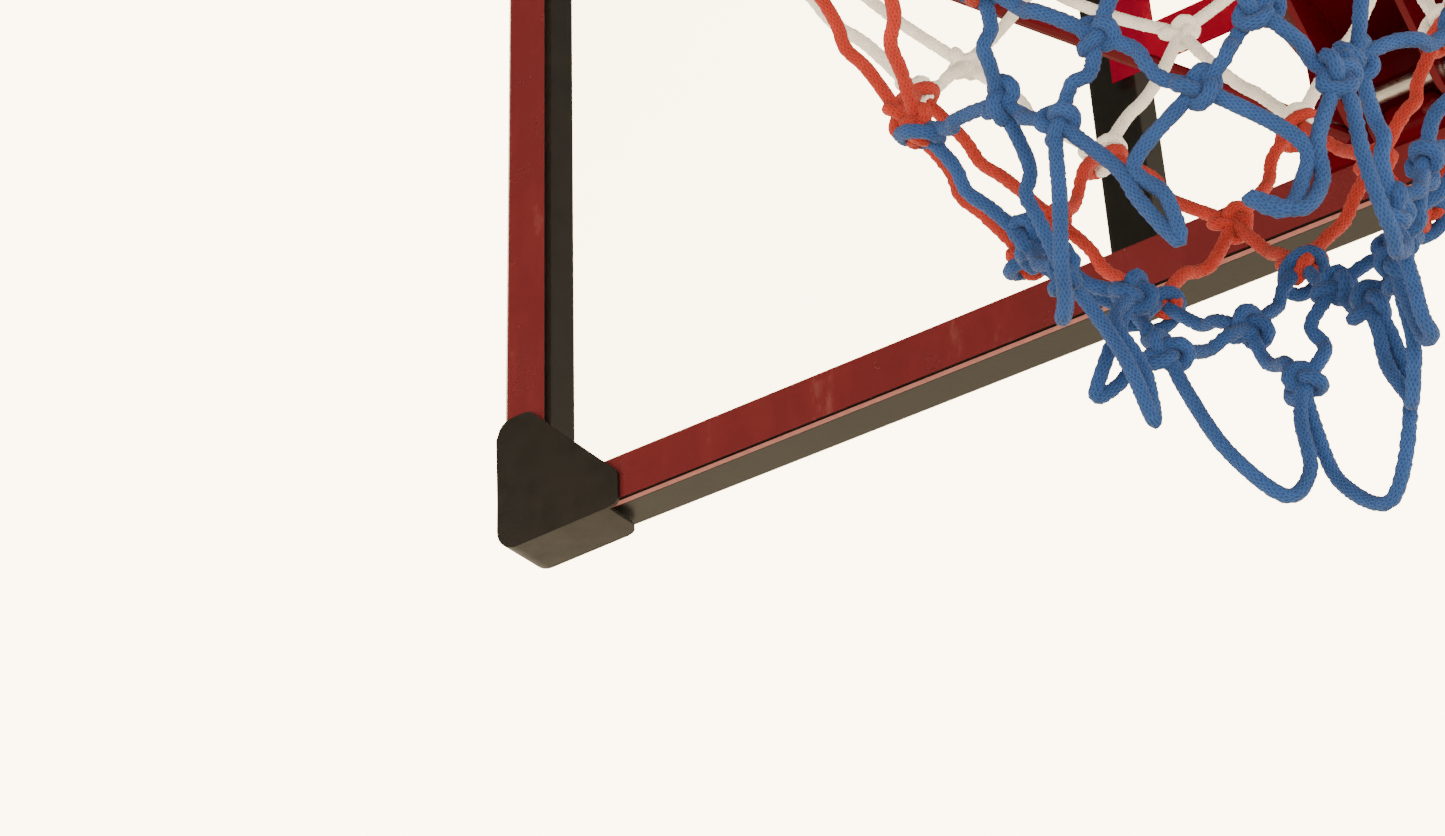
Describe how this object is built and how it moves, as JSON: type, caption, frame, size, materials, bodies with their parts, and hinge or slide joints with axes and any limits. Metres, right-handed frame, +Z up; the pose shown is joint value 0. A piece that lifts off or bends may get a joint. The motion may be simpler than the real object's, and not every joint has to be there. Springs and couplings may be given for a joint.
{
  "type": "basketball backboard and hoop",
  "caption": "Clear rectangular basketball backboard in a square-tube frame with a spring-loaded hoop that tips down, brace bars and a three-colour cord net.",
  "frame": {"origin": "centre of the pole bracket's rear web, outer face", "axes": "+Z up, +Y out of the back of the board towards the pole, +X along the board; the hoop stands out towards -Y"},
  "size_m": [1.3878, 0.7035, 1.202],
  "materials": {
    "clear_sheet": "clear polycarbonate",
    "red_film": "translucent printed line",
    "foam_tape": "black foam",
    "black_steel": "satin powder coat",
    "black_plastic": "moulded, fine grain",
    "red_steel": "gloss powder coat",
    "zinc": "zinc plated",
    "cord_white": "braided nylon cord",
    "cord_red": "braided nylon cord",
    "cord_blue": "braided nylon cord"
  },
  "bodies": {
    "backboard": {"backboard_sheet": "clear_sheet", "border_line": "red_film", "bottom_left_cap": "black_plastic", "bottom_left_cap_screw": "zinc", "bottom_rail": "black_steel", "bottom_right_cap": "black_plastic", "bottom_right_cap_screw": "zinc", "centre_channel": "black_steel", "frame_tape": "foam_tape", "hoop_base": "red_steel", "left_rail": "black_steel", "left_release_spring": "zinc", "left_spring_nut": "zinc", "left_spring_stud": "zinc", "left_upright": "black_steel", "lower_cross_rail": "black_steel", "lower_left_hoop_bolt": "red_steel", "lower_left_hoop_nut": "zinc", "lower_left_pole_bolt": "zinc", "lower_right_hoop_bolt": "red_steel", "lower_right_hoop_nut": "zinc", "lower_right_pole_bolt": "zinc", "pivot_clip": "zinc", "pivot_pin": "zinc", "pole_bracket": "black_steel", "right_rail": "black_steel", "right_release_spring": "zinc", "right_spring_nut": "zinc", "right_spring_stud": "zinc", "right_upright": "black_steel", "target_line": "red_film", "top_left_cap": "black_plastic", "top_left_cap_screw": "zinc", "top_rail": "black_steel", "top_right_cap": "black_plastic", "top_right_cap_screw": "zinc", "upper_cross_rail": "black_steel", "upper_left_hoop_bolt": "red_steel", "upper_left_hoop_nut": "zinc", "upper_left_pole_bolt": "zinc", "upper_right_hoop_bolt": "red_steel", "upper_right_hoop_nut": "zinc", "upper_right_pole_bolt": "zinc"},
    "hoop": {"hoop_carrier": "red_steel", "ring": "red_steel", "left_brace": "red_steel", "right_brace": "red_steel", "net_white": "cord_white", "net_red": "cord_red", "net_blue": "cord_blue"}
  },
  "joints": [
    {"name": "hoop_breakaway", "type": "hinge", "parent": "backboard", "child": "hoop", "pos_m": [0, -0.1, -0.367], "axis": [1, 0, 0], "range_deg": [0, 15], "stiffness_Nm_per_rad": 200, "springref_deg": -34.38, "deforming": ["left_release_spring", "right_release_spring"]}
  ]
}
